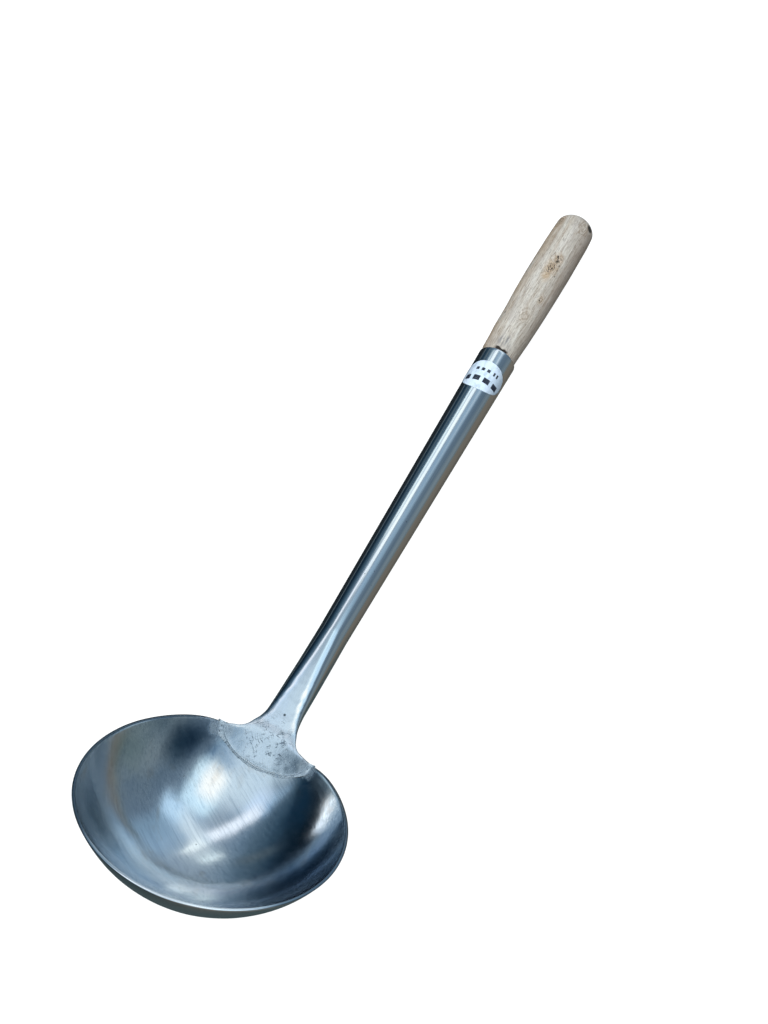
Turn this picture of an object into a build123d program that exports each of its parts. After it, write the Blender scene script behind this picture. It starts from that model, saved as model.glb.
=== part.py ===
from build123d import *

import os
from math import asin, cos, degrees, sin, sqrt

# Wok ladle: a pressed steel bowl, a rolled conical steel shank whose flattened end fans out and is
# welded into the bowl, a turned wooden grip driven into the shank's socket, and an oval size label.
# Millimetres. The ladle lies at rest on a flat surface: the bowl's outside and the grip's belly touch
# Z = 0, so the handle's axis is level, along +X. The bowl opens towards +Z and -X. The origin is the
# centre of the bounding box's base.

# ---- bowl -------------------------------------------------------------------------------------
RIM_RADIUS = 65.0
BOWL_DEPTH = 40.3
BOWL_WALL = 1.4
LIP_CROWN = 0.5             # how far the rounded lip stands above the rim plane

# ---- handle, with stations measured along the handle's axis from the back of the rim ------------
NECK_END = 62.0             # the shank is round from here to its mouth
NECK_RADIUS = 8.15
MOUTH = 258.4
MOUTH_RADIUS = 10.93
SHANK_WALL = 1.1

# Flattened neck: station, half width, half height of the outside, down to the fan
NECK_SECTIONS = [(42.0, 8.3, 7.0), (24.0, 8.6, 5.0), (6.0, 9.8, 2.2)]
# The hollow ends where the two walls are pressed together
HOLLOW_SECTIONS = [(42.0, 7.2, 5.8), (24.0, 7.3, 3.4), (14.0, 7.4, 1.4)]

# ---- fan: the plate that widens over the rim, and the tongue that lies on the bowl's inner wall --
FAN_THICKNESS = 2.6
FAN_ROOT = 13.0             # station where the neck starts to widen
FAN_ROOT_HALF_WIDTH = 8.6
FAN_WAIST = 0.9             # part of the way round the fan's hollow side
FAN_WAIST_HALF_WIDTH = 13.4
FAN_TIP = -3.6              # where the fan's sides run into the rim
FAN_TIP_HALF_WIDTH = 19.8
TONGUE_THICKNESS = 1.3
TONGUE_HALF_WIDTH = 24.5
TONGUE_DEPTH = 14.7         # below the rim plane, on the centre line
BEAD_WIDTH = 2.4
BEAD_HEIGHT = 1.7
BEAD_LAP = 0.8              # how far the bead climbs over the tongue's edge
RIM_WELD_RADIUS = 1.6
RIM_WELD_DEPTH = 2.0        # below the rim plane
RIM_WELD_HALF_ANGLE = 12.0  # degrees about the bowl's axis

# ---- grip ---------------------------------------------------------------------------------------
BELLY_RADIUS = 12.3
BELLY_START = 318.0         # the belly is a true cylinder between these stations
BELLY_END = 340.0
GRIP_END = 372.0
GRIP_COLLAR = (259.4, 10.25)        # station and radius where the grip leaves the socket
GRIP_SLOPE = (285.0, 11.1)          # stations and radii that steer the swelling up to the belly
GRIP_SWELL = (302.0, 12.2)
DOME_START = 365.0
DOME_START_RADIUS = 11.5
DOME_SHOULDER = (370.5, 11.3)       # steers the dome's rounded edge
TENON_LENGTH = 34.0
TENON_END_CHAMFER = 1.0

# ---- label --------------------------------------------------------------------------------------
LABEL_STATION = 238.7
LABEL_LENGTH = 20.0         # along the shank
LABEL_HALF_SPAN = 10.5      # seen from above; the label wraps the shank's upper side
LABEL_THICKNESS = 0.2

# ---- worked out from the dimensions above ---------------------------------------------------------
sphere_radius = (RIM_RADIUS**2 + BOWL_DEPTH**2) / (2 * BOWL_DEPTH)
inner_radius = sphere_radius - BOWL_WALL
rim_drop = sphere_radius - BOWL_DEPTH       # from the sphere's centre down to the rim plane
# The tilt that rests the bowl and the grip's belly on one plane, with the axis through the rim
tilt = asin((sphere_radius - BELLY_RADIUS) / sphere_radius) - asin(rim_drop / sphere_radius)

along_rim = Vector(cos(tilt), 0, -sin(tilt))    # in the rim plane, towards the handle
bowl_up = Vector(sin(tilt), 0, cos(tilt))       # the bowl's axis, out of its mouth
rim_back = along_rim * RIM_RADIUS - bowl_up * rim_drop     # seen from the sphere's centre
centre_x = (sphere_radius - rim_back.X - GRIP_END) / 2
sphere_centre = Vector(centre_x, 0, sphere_radius)
rim_x = centre_x + rim_back.X
axis_z = BELLY_RADIUS

rim_plane = Plane(origin=sphere_centre - bowl_up * rim_drop, x_dir=along_rim, z_dir=bowl_up)
bowl_section = Plane(origin=sphere_centre, x_dir=along_rim, z_dir=(0, -1, 0))
bowl_axis = Axis(sphere_centre, bowl_up)
handle_section = Plane(origin=(rim_x, 0, axis_z), x_dir=(1, 0, 0), z_dir=(0, -1, 0))
handle_axis = Axis((rim_x, 0, axis_z), (1, 0, 0))
fan_plane = Plane(origin=(rim_x, 0, axis_z), x_dir=(1, 0, 0), z_dir=(0, 0, 1))


def station_plane(station):
    """The plane square to the handle's axis at a station, with its x along +Y."""
    return Plane(origin=(rim_x + station, 0, axis_z), x_dir=(0, 1, 0), z_dir=(1, 0, 0))


def shank_radius(station):
    """Outer radius of the round, conical part of the shank."""
    share = (station - NECK_END) / (MOUTH - NECK_END)
    return NECK_RADIUS + (MOUTH_RADIUS - NECK_RADIUS) * share


def wall_radius(depth, radius):
    """Distance from the bowl's axis to a sphere about the bowl's centre, at a depth below the rim."""
    return sqrt(radius**2 - (rim_drop + depth) ** 2)


def wall_patch(depth, half_width, thickness):
    """A patch lying on the bowl's inner wall at its back, down to a depth on the centre line."""
    tip = wall_radius(depth, inner_radius)
    side = sqrt(wall_radius(0, inner_radius) ** 2 - half_width**2)
    beyond_rim = RIM_RADIUS + 1
    with BuildPart() as patch:
        with BuildSketch(bowl_section):
            with BuildLine():
                CenterArc((0, 0), inner_radius, -90, 90)
                CenterArc((0, 0), inner_radius - thickness, -90, 90)
                Line((0, -inner_radius), (0, thickness - inner_radius))
                Line((inner_radius, 0), (inner_radius - thickness, 0))
            make_face()
        revolve(axis=bowl_axis)
        with BuildSketch(rim_plane):
            with BuildLine():
                ThreePointArc((side, -half_width), (tip, 0), (side, half_width))
                Line((side, half_width), (beyond_rim, half_width))
                Line((beyond_rim, half_width), (beyond_rim, -half_width))
                Line((beyond_rim, -half_width), (side, -half_width))
            make_face()
        extrude(amount=-BOWL_DEPTH, mode=Mode.INTERSECT)
    return patch.part


# ---- the bowl: a spherical cap of even wall, with a rounded lip -----------------------------------
with BuildPart() as bowl:
    outer_lip_angle = degrees(asin(rim_drop / sphere_radius))
    inner_lip_angle = degrees(asin(rim_drop / inner_radius))
    inner_lip = wall_radius(0, inner_radius)
    lip_middle = (RIM_RADIUS + inner_lip) / 2
    with BuildSketch(bowl_section):
        with BuildLine():
            CenterArc((0, 0), sphere_radius, -90, 90 - outer_lip_angle)
            ThreePointArc(
                (RIM_RADIUS, -rim_drop),
                (lip_middle, LIP_CROWN - rim_drop),
                (inner_lip, -rim_drop),
            )
            CenterArc((0, 0), inner_radius, -90, 90 - inner_lip_angle)
            Line((0, -inner_radius), (0, -sphere_radius))
        make_face()
    revolve(axis=bowl_axis)
bowl.part.label = "bowl"

# ---- the shank: rolled tube, flattened neck, fan and tongue in one piece of sheet ------------------
tongue = wall_patch(TONGUE_DEPTH, TONGUE_HALF_WIDTH, TONGUE_THICKNESS)
tongue_radius = inner_radius - TONGUE_THICKNESS
with BuildPart() as shank:
    # round part
    with BuildSketch(handle_section):
        Polygon(
            (NECK_END, NECK_RADIUS),
            (MOUTH, MOUTH_RADIUS),
            (MOUTH, MOUTH_RADIUS - SHANK_WALL),
            (NECK_END, NECK_RADIUS - SHANK_WALL),
            align=None,
        )
    revolve(axis=handle_axis)
    # neck, squeezed flatter towards the bowl
    with BuildSketch(station_plane(NECK_END)):
        Circle(NECK_RADIUS)
    for station, half_width, half_height in NECK_SECTIONS:
        with BuildSketch(station_plane(station)):
            Ellipse(half_width, half_height)
    loft()
    with BuildSketch(station_plane(NECK_END)):
        Circle(NECK_RADIUS - SHANK_WALL)
    for station, half_width, half_height in HOLLOW_SECTIONS:
        with BuildSketch(station_plane(station)):
            Ellipse(half_width, half_height)
    loft(mode=Mode.SUBTRACT)
    # fan, from the neck to the rim, with hollow sides
    with BuildSketch(fan_plane.offset(-FAN_THICKNESS / 2)):
        with BuildLine():
            for side in (1, -1):
                Spline(
                    (FAN_ROOT, side * FAN_ROOT_HALF_WIDTH),
                    (FAN_WAIST, side * FAN_WAIST_HALF_WIDTH),
                    (FAN_TIP, side * FAN_TIP_HALF_WIDTH),
                    tangents=[(-1, 0), (-0.3, side)],
                )
            Line((FAN_TIP, -FAN_TIP_HALF_WIDTH), (FAN_TIP, FAN_TIP_HALF_WIDTH))
            Line((FAN_ROOT, FAN_ROOT_HALF_WIDTH), (FAN_ROOT, -FAN_ROOT_HALF_WIDTH))
        make_face()
    extrude(amount=FAN_THICKNESS)
    # the bowl's inside is hollowed out of the fan, down to the tongue's own thickness
    with BuildSketch(bowl_section):
        with BuildLine():
            CenterArc((0, 0), tongue_radius, -90, 180)
            Line((0, -tongue_radius), (0, tongue_radius))
        make_face()
    revolve(axis=bowl_axis, mode=Mode.SUBTRACT)
    # tongue, from the rim down the inner wall
    add(tongue)
    add(bowl.part, mode=Mode.SUBTRACT)
shank.part.label = "shank"

# ---- the weld along the tongue's edge: a low bead on the bowl's inner wall --------------------------
with BuildPart() as neck_weld:
    add(wall_patch(TONGUE_DEPTH + BEAD_WIDTH, TONGUE_HALF_WIDTH + BEAD_WIDTH, BEAD_HEIGHT))
    covered = wall_patch(TONGUE_DEPTH - BEAD_LAP, TONGUE_HALF_WIDTH - BEAD_LAP, 2 * BEAD_HEIGHT)
    add(covered, mode=Mode.SUBTRACT)
    add(shank.part, mode=Mode.SUBTRACT)
    add(bowl.part, mode=Mode.SUBTRACT)
neck_weld.part.label = "neck_weld"

# ---- the weld under the rim: a fillet between the neck's underside and the bowl's outside -----------
with BuildPart() as rim_weld:
    weld_start = along_rim.rotate(Axis((0, 0, 0), bowl_up), -RIM_WELD_HALF_ANGLE)
    weld_section = Plane(origin=sphere_centre, x_dir=weld_start, z_dir=weld_start.cross(bowl_up))
    weld_middle = (wall_radius(RIM_WELD_DEPTH, sphere_radius), -rim_drop - RIM_WELD_DEPTH)
    with BuildSketch(weld_section):
        with Locations(weld_middle):
            Circle(RIM_WELD_RADIUS)
    revolve(axis=bowl_axis, revolution_arc=2 * RIM_WELD_HALF_ANGLE)
    add(bowl.part, mode=Mode.SUBTRACT)
    add(shank.part, mode=Mode.SUBTRACT)
rim_weld.part.label = "rim_weld"

# ---- the grip: turned wood with a belly, a domed end and a tapered tenon in the socket --------------
with BuildPart() as grip:
    tenon_start = MOUTH - TENON_LENGTH
    tenon_start_radius = shank_radius(tenon_start) - SHANK_WALL
    tenon_mouth_radius = MOUTH_RADIUS - SHANK_WALL
    with BuildSketch(handle_section):
        with BuildLine():
            Line((tenon_start, 0), (tenon_start, tenon_start_radius - TENON_END_CHAMFER))
            Line(
                (tenon_start, tenon_start_radius - TENON_END_CHAMFER),
                (tenon_start + TENON_END_CHAMFER, tenon_start_radius),
            )
            Line((tenon_start + TENON_END_CHAMFER, tenon_start_radius), (MOUTH, tenon_mouth_radius))
            Line((MOUTH, tenon_mouth_radius), GRIP_COLLAR)
            Bezier(GRIP_COLLAR, GRIP_SLOPE, GRIP_SWELL, (BELLY_START, BELLY_RADIUS))
            Line((BELLY_START, BELLY_RADIUS), (BELLY_END, BELLY_RADIUS))
            Bezier(
                (BELLY_END, BELLY_RADIUS),
                ((BELLY_END + DOME_START) / 2, BELLY_RADIUS),
                (DOME_START, DOME_START_RADIUS),
            )
            Bezier(
                (DOME_START, DOME_START_RADIUS),
                DOME_SHOULDER,
                (GRIP_END, DOME_START_RADIUS / 2),
                (GRIP_END, 0),
            )
            Line((GRIP_END, 0), (tenon_start, 0))
        make_face()
    revolve(axis=handle_axis)
grip.part.label = "grip"

# ---- the size label: a thin oval sticker wrapped over the shank just below its mouth ----------------
with BuildPart() as size_label:
    with BuildSketch(handle_section):
        label_ends = (LABEL_STATION - LABEL_LENGTH, LABEL_STATION + LABEL_LENGTH)
        Polygon(
            (label_ends[0], shank_radius(label_ends[0])),
            (label_ends[0], shank_radius(label_ends[0]) + LABEL_THICKNESS),
            (label_ends[1], shank_radius(label_ends[1]) + LABEL_THICKNESS),
            (label_ends[1], shank_radius(label_ends[1])),
            align=None,
        )
    revolve(axis=handle_axis)
    with BuildSketch(fan_plane):
        with Locations((LABEL_STATION, 0)):
            Ellipse(LABEL_LENGTH / 2, LABEL_HALF_SPAN)
    extrude(amount=2 * MOUTH_RADIUS, mode=Mode.INTERSECT)
size_label.part.label = "size_label"

os.makedirs("parts", exist_ok=True)
for piece in (bowl, shank, neck_weld, rim_weld, grip, size_label):
    export_step(piece.part, f"parts/{piece.part.label}.step")
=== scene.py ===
"""Looks of a steel wok ladle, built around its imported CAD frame.

Metres. The ladle lies at rest: its handle is level along +X, +Z is up, and the bowl opens upwards and
towards -X. Stations are distances along the handle's axis from the back of the bowl's rim.
"""

from math import asin, cos, degrees, exp, pi, radians, sin, sqrt

import bpy
import numpy as np
from mathutils import Matrix, Vector, noise


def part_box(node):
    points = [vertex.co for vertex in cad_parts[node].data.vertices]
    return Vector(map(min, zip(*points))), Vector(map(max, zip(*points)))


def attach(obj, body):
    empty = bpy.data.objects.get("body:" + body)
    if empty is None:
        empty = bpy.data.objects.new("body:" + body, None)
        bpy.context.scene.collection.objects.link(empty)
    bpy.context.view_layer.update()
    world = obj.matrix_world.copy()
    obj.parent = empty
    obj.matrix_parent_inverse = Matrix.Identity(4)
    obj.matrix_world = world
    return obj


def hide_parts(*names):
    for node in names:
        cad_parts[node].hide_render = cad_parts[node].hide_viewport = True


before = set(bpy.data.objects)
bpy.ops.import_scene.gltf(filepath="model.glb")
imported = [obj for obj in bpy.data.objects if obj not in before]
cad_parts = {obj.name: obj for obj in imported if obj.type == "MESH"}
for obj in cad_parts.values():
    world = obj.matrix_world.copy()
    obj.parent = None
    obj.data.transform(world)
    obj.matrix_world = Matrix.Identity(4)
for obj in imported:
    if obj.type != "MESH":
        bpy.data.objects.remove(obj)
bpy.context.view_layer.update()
MM = 0.001

# ---- driving dimensions: from the frame where it has them --------
bowl_low, bowl_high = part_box("bowl")
shank_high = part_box("shank")[1]
grip_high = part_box("grip")[1]
label_low, label_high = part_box("size_label")

RIM_RADIUS = bowl_high.y
BOWL_DEPTH = 40.3 * MM
BOWL_WALL = 1.4 * MM
LIP_CROWN = 0.5 * MM
NECK_END = 62 * MM
NECK_RADIUS = 8.15 * MM
MOUTH_RADIUS = 10.93 * MM
SHANK_WALL = 1.1 * MM
TONGUE_DEPTH = 17.1 * MM        # along the wall, from the rim to the tongue's tip
TONGUE_HALF_WIDTH = 24.5 * MM
TONGUE_THICKNESS = 1.2 * MM
axis_z = grip_high.z / 2

sphere_radius = (RIM_RADIUS**2 + BOWL_DEPTH**2) / (2 * BOWL_DEPTH)
inner_radius = sphere_radius - BOWL_WALL
rim_drop = sphere_radius - BOWL_DEPTH
tilt = asin((sphere_radius - axis_z) / sphere_radius) - asin(rim_drop / sphere_radius)
along_rim = Vector((cos(tilt), 0, -sin(tilt)))
bowl_up = Vector((sin(tilt), 0, cos(tilt)))
sphere_centre = Vector((bowl_low.x + sphere_radius, 0, sphere_radius))
rim_back = sphere_centre + along_rim * RIM_RADIUS - bowl_up * rim_drop
rim_x = rim_back.x
mouth = shank_high.x - rim_x
grip_end = grip_high.x - rim_x


def smooth(low, high, value):
    """0 below low, 1 above high, and a smooth rise between them."""
    t = min(max((value - low) / (high - low), 0.0), 1.0)
    return t * t * (3 - 2 * t)


def through(stations, values, at):
    """A smooth curve through the values at rising stations, with no overshoot between them."""
    x, y = np.asarray(stations, float), np.asarray(values, float)
    steps = np.diff(y) / np.diff(x)
    slopes = np.zeros(len(x))
    for i in range(1, len(x) - 1):
        if steps[i - 1] * steps[i] > 0:
            slopes[i] = 2 * steps[i - 1] * steps[i] / (steps[i - 1] + steps[i])
    slopes[0], slopes[-1] = steps[0], steps[-1]
    i = int(min(max(np.searchsorted(x, at) - 1, 0), len(x) - 2))
    gap = x[i + 1] - x[i]
    t = min(max((at - x[i]) / gap, 0.0), 1.0)
    return float(
        (2 * t**3 - 3 * t**2 + 1) * y[i]
        + (t**3 - 2 * t**2 + t) * gap * slopes[i]
        + (3 * t**2 - 2 * t**3) * y[i + 1]
        + (t**3 - t**2) * gap * slopes[i + 1]
    )


def ripple(point, size, seed=0.0):
    """Smooth noise, about -1 to 1, that varies over a length of size metres."""
    return noise.noise(Vector(point) / size + Vector((seed, 7.3 * seed, -3.1 * seed)))


# ---- meshes ------------------------------------------------------
def linked(name, data):
    """A new object in the scene."""
    made = bpy.data.objects.new(name, data)
    bpy.context.scene.collection.objects.link(made)
    return made


def grid_piece(name, rows, closed_across=False, first_cap=False, last_cap=False, uv=None):
    """A mesh from rows of points. Each row has as many points as the others.

    closed_across joins each row's end to its start; a cap closes the first or last row with one face fan.
    uv is a function of (row, column) that gives the two texture coordinates in metres.
    """
    high, wide = len(rows), len(rows[0])
    points = [tuple(p) for row in rows for p in row]
    faces = []
    span = wide if closed_across else wide - 1
    for i in range(high - 1):
        for j in range(span):
            k = (j + 1) % wide
            faces.append((i * wide + j, i * wide + k, (i + 1) * wide + k, (i + 1) * wide + j))
    corner_uv = []
    if uv:
        for i in range(high - 1):
            for j in range(span):
                corner_uv += [uv(i, j), uv(i, j + 1), uv(i + 1, j + 1), uv(i + 1, j)]
    for wanted, i, step in ((first_cap, 0, -1), (last_cap, high - 1, 1)):
        if not wanted:
            continue
        middle = len(points)
        ring = [Vector(points[i * wide + j]) for j in range(wide)]
        points.append(tuple(sum(ring, Vector()) / wide))
        for j in range(span):
            k = (j + 1) % wide
            a, b = i * wide + j, i * wide + k
            faces.append((middle, b, a) if step < 0 else (middle, a, b))
            if uv:
                here, there = uv(i, j), uv(i, j + 1)
                between = ((here[0] + there[0]) / 2, here[1])
                corner_uv += [between, there, here] if step < 0 else [between, here, there]
    mesh = bpy.data.meshes.new(name)
    mesh.from_pydata(points, [], faces)
    if uv:
        layer = mesh.uv_layers.new(name="surface")
        layer.data.foreach_set("uv", np.array(corner_uv, np.float32).ravel())
    mesh.validate()
    mesh.shade_smooth()
    return linked(name, mesh)


def wall_point(down, across, lift):
    """A point on the bowl's inner wall: down from the back of the rim, across it, lifted off it."""
    below = asin(rim_drop / inner_radius) + down / inner_radius
    outward = along_rim * cos(below) - bowl_up * sin(below)
    turn = across / inner_radius
    direction = outward * cos(turn) + Vector((0, 1, 0)) * sin(turn)
    return sphere_centre + direction * (inner_radius - lift)


def axis_point(station, across, up):
    """A point beside the handle's axis."""
    return Vector((rim_x + station, across, axis_z + up))


def ring_point(station, radius, turn):
    """A point round the handle's axis, at an angle from its top towards +Y."""
    return axis_point(station, radius * sin(turn), radius * cos(turn))


# ---- bowl --------------------------------------------------------
BOWL_SEGMENTS = 288
BOWL_RINGS = 72
LIP_SHARES = (0.03, 0.08, 0.16, 0.35, 0.55, 0.72, 0.86, 0.95)      # inner edge crisp, outer edge rounded
RIM_INSET = 0.08 * MM           # keeps the lip's waviness inside the frame's box
DENT_DEPTHS = ((0.10 * MM, 26 * MM, 1.0), (0.05 * MM, 11 * MM, 2.0))      # depth, size, seed
SAG_DEPTH = 0.12 * MM           # waviness of the rim's height


def build_bowl():
    """Inner wall from the centre out, over the rounded lip, and the outer wall back to the centre."""
    inner_lip = sqrt(inner_radius**2 - rim_drop**2)
    profile = []
    for i in range(1, BOWL_RINGS + 1):
        reach = pi / 2 - asin(rim_drop / inner_radius)
        polar = reach * i / BOWL_RINGS
        profile.append((inner_radius * sin(polar), -inner_radius * cos(polar)))
    lip_half = (RIM_RADIUS - RIM_INSET - inner_lip) / 2
    for share in LIP_SHARES:
        rise = LIP_CROWN * sqrt(1 - share * share) * smooth(-0.02, 0.10, share)
        profile.append((inner_lip + 2 * lip_half * share, -rim_drop + rise))
    outer_radius = sphere_radius - RIM_INSET
    for i in range(BOWL_RINGS, 0, -1):
        reach = pi / 2 - asin(rim_drop / outer_radius)
        polar = reach * i / BOWL_RINGS
        profile.append((outer_radius * sin(polar), -outer_radius * cos(polar)))
    rows = []
    for radius, height in profile:
        row = []
        for j in range(BOWL_SEGMENTS):
            turn = 2 * pi * j / BOWL_SEGMENTS
            flat = Vector((radius * cos(turn), radius * sin(turn), height))
            near_rim = smooth(0.6 * RIM_RADIUS, RIM_RADIUS, radius)
            dent = sum(depth * ripple(flat, size, seed) for depth, size, seed in DENT_DEPTHS)
            sag = SAG_DEPTH * near_rim * ripple(flat, 17 * MM, 3.0)
            drop = rim_dip(flat) * near_rim**3
            inward = flat.normalized() * -(abs(dent) + 0.02 * MM)
            flat += inward + Vector((0, 0, sag - drop - SAG_DEPTH * near_rim))
            row.append(sphere_centre + along_rim * flat.x + Vector((0, flat.y, 0)) + bowl_up * flat.z)
        rows.append(row)
    around = 2 * pi * 0.6 * RIM_RADIUS

    def surface(i, j):
        return (around * j / BOWL_SEGMENTS, sphere_radius * i / BOWL_RINGS)

    return grid_piece("ladle_bowl", rows, True, True, True, surface)


RIM_DIP = 2.2 * MM              # the rim is ground down beside the fan
RIM_DIP_PLACE = 22 * MM
RIM_DIP_WIDTH = 9 * MM


def rim_dip(flat):
    """How far the rim is ground down, at a point about the bowl's axis."""
    if flat.x < 0:
        return 0.0
    off = (abs(flat.y) - RIM_DIP_PLACE) / RIM_DIP_WIDTH
    return RIM_DIP * exp(-off * off)


# ---- shank -------------------------------------------------------
# station, half width at +Y, half width at -Y, top above the axis, bottom below it, squareness (2 is round)
SHANK_SHAPE = [
    (-2.6, 21.5, 21.5, 1.25, -0.05, 4.5),
    (-1.4, 17.0, 16.0, 1.35, 0.05, 4.5),
    (0.6, 13.9, 12.9, 1.55, 0.35, 4.2),
    (3.3, 12.1, 11.2, 1.95, 0.9, 4.0),
    (6.5, 10.4, 9.9, 2.5, 1.6, 3.6),
    (11.0, 9.3, 9.0, 3.2, 2.6, 3.3),
    (17.0, 9.0, 8.5, 4.1, 3.9, 3.1),
    (26.0, 8.7, 8.4, 5.3, 5.4, 2.9),
    (42.0, 8.3, 8.3, 7.0, 7.1, 2.4),
    (62.0, 8.15, 8.15, 8.15, 8.15, 2.0),
]
SHOULDER = SHANK_SHAPE[0][0] * MM       # from here the fan runs down the bowl's wall as a tongue
SHANK_AROUND = 128
SHANK_ALONG = 150
NECK_LOOPS = 90
TONGUE_LOOPS = 46
MOUTH_DEPTH = 9 * MM            # how far the socket's inside is modelled
MOUTH_LOOPS = 6
MOUTH_EDGE = 0.18 * MM          # how much the mouth's two edges are rounded


def shank_shape(station):
    """Half widths at +Y and -Y, top, bottom and squareness of the shank's section, in metres."""
    if station >= NECK_END:
        radius = NECK_RADIUS + (MOUTH_RADIUS - NECK_RADIUS) * (station - NECK_END) / (mouth - NECK_END)
        return radius, radius, radius, radius, 2.0
    stations = [row[0] * MM for row in SHANK_SHAPE]
    sizes = [through(stations, [row[k] for row in SHANK_SHAPE], station) for k in range(1, 6)]
    return sizes[0] * MM, sizes[1] * MM, sizes[2] * MM, sizes[3] * MM, sizes[4]


def section(left, right, top, bottom, squareness, turn):
    """A point (across, up) of a section, at an angle from its top towards +Y."""
    power = 2 / squareness
    side = abs(sin(turn)) ** power
    rise = abs(cos(turn)) ** power
    across = side * left if sin(turn) > 0 else -side * right
    middle, half = (top - bottom) / 2, (top + bottom) / 2
    return across, middle + (rise * half if cos(turn) > 0 else -rise * half)


def shank_loop(station):
    """A closed loop of points round the shank. Towards the bowl it bends down onto the inner wall."""
    tongue_end = -TONGUE_DEPTH
    if station < SHOULDER:
        share = (SHOULDER - station) / (SHOULDER - tongue_end)
        wide = TONGUE_HALF_WIDTH * sqrt(max(1 - share * share, 0.0))
        first = SHANK_SHAPE[0][1] * MM
        wide = min(wide, first + (TONGUE_HALF_WIDTH - first) * smooth(0, 0.06, share))
        thick = TONGUE_THICKNESS * (1 - 0.55 * smooth(0.75, 1, share))
        shape = (wide, wide, thick, 0.0, SHANK_SHAPE[0][5])
    else:
        shape = shank_shape(station)
    onto_wall = 1 - smooth(-5 * MM, 5 * MM, station)
    loop = []
    for j in range(SHANK_AROUND):
        across, up = section(*shape, 2 * pi * j / SHANK_AROUND)
        level = axis_point(station, across, up)
        if onto_wall > 0:
            level = level.lerp(wall_point(-station, across, up), onto_wall)
        worked = smooth(50 * MM, 10 * MM, station) if station > 0 else 1.0
        worn = 0.0
        if worked > 0:
            worn = 0.16 * MM * ripple(level, 7 * MM, 4.0) + 0.07 * MM * ripple(level, 2.6 * MM, 5.0)
        level.z += worked * worn
        loop.append(level)
    return loop


def build_shank():
    """Socket's inside, mouth, conical tube, flattened neck, fan, and the tongue down the bowl's wall."""
    loops, places = [], []

    def add(station, loop):
        loops.append(loop)
        places.append(station)

    def add_ring(station, radius):
        turns = [2 * pi * j / SHANK_AROUND for j in range(SHANK_AROUND)]
        add(station, [ring_point(station, radius, turn) for turn in turns])

    bore = MOUTH_RADIUS - SHANK_WALL
    for i in range(MOUTH_LOOPS + 1):
        add_ring(mouth - MOUTH_DEPTH * (1 - i / MOUTH_LOOPS) - MOUTH_EDGE, bore)
    add_ring(mouth - 0.04 * MM, bore + MOUTH_EDGE)
    add_ring(mouth - 0.02 * MM, MOUTH_RADIUS - 1.6 * MOUTH_EDGE)
    add_ring(mouth - MOUTH_EDGE, MOUTH_RADIUS - 0.25 * MOUTH_EDGE)
    first = mouth - 2 * MOUTH_EDGE
    for i in range(SHANK_ALONG):
        station = first - (first - NECK_END) * i / SHANK_ALONG
        add(station, shank_loop(station))
    for i in range(NECK_LOOPS):
        station = NECK_END + (SHOULDER - NECK_END) * (1 - (1 - i / NECK_LOOPS) ** 1.5)
        add(station, shank_loop(station))
    for i in range(TONGUE_LOOPS + 1):
        station = SHOULDER + (-TONGUE_DEPTH - SHOULDER) * sin(0.985 * pi / 2 * i / TONGUE_LOOPS)
        add(station, shank_loop(station))
    girth = 2 * pi * NECK_RADIUS

    def surface(i, j):
        return (girth * j / SHANK_AROUND, places[i])

    return grid_piece("ladle_shank", loops, True, False, True, surface)


# ---- grip --------------------------------------------------------
GRIP_AROUND = 160
GRIP_ALONG = 260
DOME_RINGS = 26
# distance from the socket's mouth, radius on the +Y side, radius on the -Y side: the wood is not quite round
GRIP_SHAPE = [
    (-8.0, 9.35, 9.6),
    (0.3, 9.4, 9.75),
    (2.0, 10.2, 9.8),
    (4.5, 10.9, 9.85),
    (12.0, 11.05, 10.2),
    (22.0, 11.5, 10.75),
    (32.0, 11.5, 11.15),
    (48.0, 12.0, 11.65),
    (64.0, 12.2, 11.95),
    (76.0, 12.1, 12.1),
    (88.0, 11.95, 12.1),
    (96.0, 11.7, 12.05),
    (103.0, 11.45, 11.85),
    (107.0, 11.3, 11.6),
]
GRIP_BODY = 107 * MM            # from the mouth to where the dome starts
NOTCH_TURN = 6                  # degrees from the top towards -Y of the wood broken away at the mouth
NOTCH_SPREAD = 20
NOTCH_DEPTH = 0.9 * MM


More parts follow.
